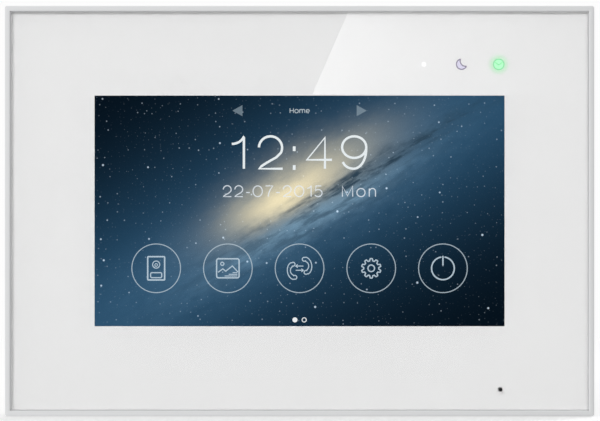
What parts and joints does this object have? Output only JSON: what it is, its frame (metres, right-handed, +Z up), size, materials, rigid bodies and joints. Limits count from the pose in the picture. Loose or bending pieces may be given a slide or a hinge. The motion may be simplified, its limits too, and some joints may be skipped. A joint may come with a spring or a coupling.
{
  "type": "video intercom monitor",
  "caption": "Wall-mounted indoor video intercom monitor: white glass touch front in a slim aluminium frame, wide lit display, plastic rear cover hung on a stamped steel wall bracket.",
  "frame": {"origin": "centre of the wall bracket's rear face, on the wall plane and at the middle of the front frame's width and height", "axes": "+X to the right of a person facing the screen, +Y into the wall, so the glass faces -Y, +Z up"},
  "size_m": [0.2224, 0.026, 0.1548],
  "materials": {
    "frame_aluminium": "satin anodised, finely brushed along each bar",
    "clear_glass": "clear float glass with polished edges",
    "mask_white": "white screen print on the rear of the glass",
    "adhesive": "black double-sided foam tape",
    "touch_film": "clear capacitive sensor glass",
    "screen": "lit liquid crystal panel",
    "diffuser_white": "translucent white plastic",
    "sheet_steel": "bare zinc-coated sheet",
    "bracket_steel": "stamped zinc-coated steel",
    "cover_plastic": "white fine-textured moulded plastic",
    "black_plastic": "black moulded plastic",
    "chip_black": "black moulded chip package",
    "circuit_board": "green solder mask",
    "terminal_green": "green moulded terminal block",
    "connector_ivory": "ivory moulded connector",
    "cable_film": "amber polyimide film",
    "rubber": "soft black rubber",
    "lamp_white": "lit white lamp",
    "lamp_violet": "lit pale violet lamp",
    "lamp_green": "lit green lamp",
    "speaker_paper": "black coated paper cone",
    "capacitor_can": "bright drawn aluminium can",
    "nickel": "nickel-plated",
    "screw_zinc": "zinc-plated screw",
    "label_film": "matt silver label with no print"
  },
  "bodies": {
    "bracket": {"wall_bracket": "bracket_steel"},
    "monitor": {"bezel_frame": "frame_aluminium", "front_glass": "clear_glass", "mask_print": "mask_white", "glass_tape": "adhesive", "touch_sensor": "touch_film", "lcd_foam": "adhesive", "lcd_panel": "screen", "backlight": "diffuser_white", "lcd_frame": "sheet_steel", "light_guide": "diffuser_white", "led_board": "circuit_board", "led_dot": "lamp_white", "led_moon": "lamp_violet", "led_message": "lamp_green", "mic_boot": "rubber", "microphone": "nickel", "chassis": "sheet_steel", "main_board": "circuit_board", "board_screw_1": "screw_zinc", "board_screw_2": "screw_zinc", "board_screw_3": "screw_zinc", "board_screw_4": "screw_zinc", "processor": "chip_black", "memory_chip": "chip_black", "shield_can": "nickel", "ethernet_transformer": "chip_black", "inductor": "chip_black", "capacitor_1": "capacitor_can", "capacitor_2": "capacitor_can", "capacitor_3": "capacitor_can", "cell_holder": "black_plastic", "coin_cell": "nickel", "lcd_ribbon": "cable_film", "lcd_connector": "connector_ivory", "touch_ribbon": "cable_film", "touch_connector": "connector_ivory", "rj45_jack": "nickel", "power_terminal": "terminal_green", "signal_terminal": "terminal_green", "sd_socket": "nickel", "reset_switch": "black_plastic", "speaker_gasket": "adhesive", "speaker_frame": "sheet_steel", "speaker_cone": "speaker_paper", "speaker_magnet": "sheet_steel", "speaker_lead": "rubber", "rear_cover": "cover_plastic", "cover_screw_1": "screw_zinc", "cover_screw_2": "screw_zinc", "cover_screw_3": "screw_zinc", "cover_screw_4": "screw_zinc", "bumper_1": "rubber", "bumper_2": "rubber", "bumper_3": "rubber", "bumper_4": "rubber", "rating_label": "label_film"},
    "reset": {"reset_button": "black_plastic"},
    "card": {"sd_card": "black_plastic"}
  },
  "joints": [
    {"name": "monitor_lift", "type": "slide", "parent": "bracket", "child": "monitor", "axis": [0, 0, 1], "range_m": [0, 0.0075]},
    {"name": "reset_press", "type": "slide", "parent": "monitor", "child": "reset", "axis": [-1, 0, 0], "range_m": [0, 0.0005], "stiffness_N_per_m": 600},
    {"name": "sd_card_pull", "type": "slide", "parent": "monitor", "child": "card", "axis": [1, 0, 0], "range_m": [0, 0.012]}
  ]
}
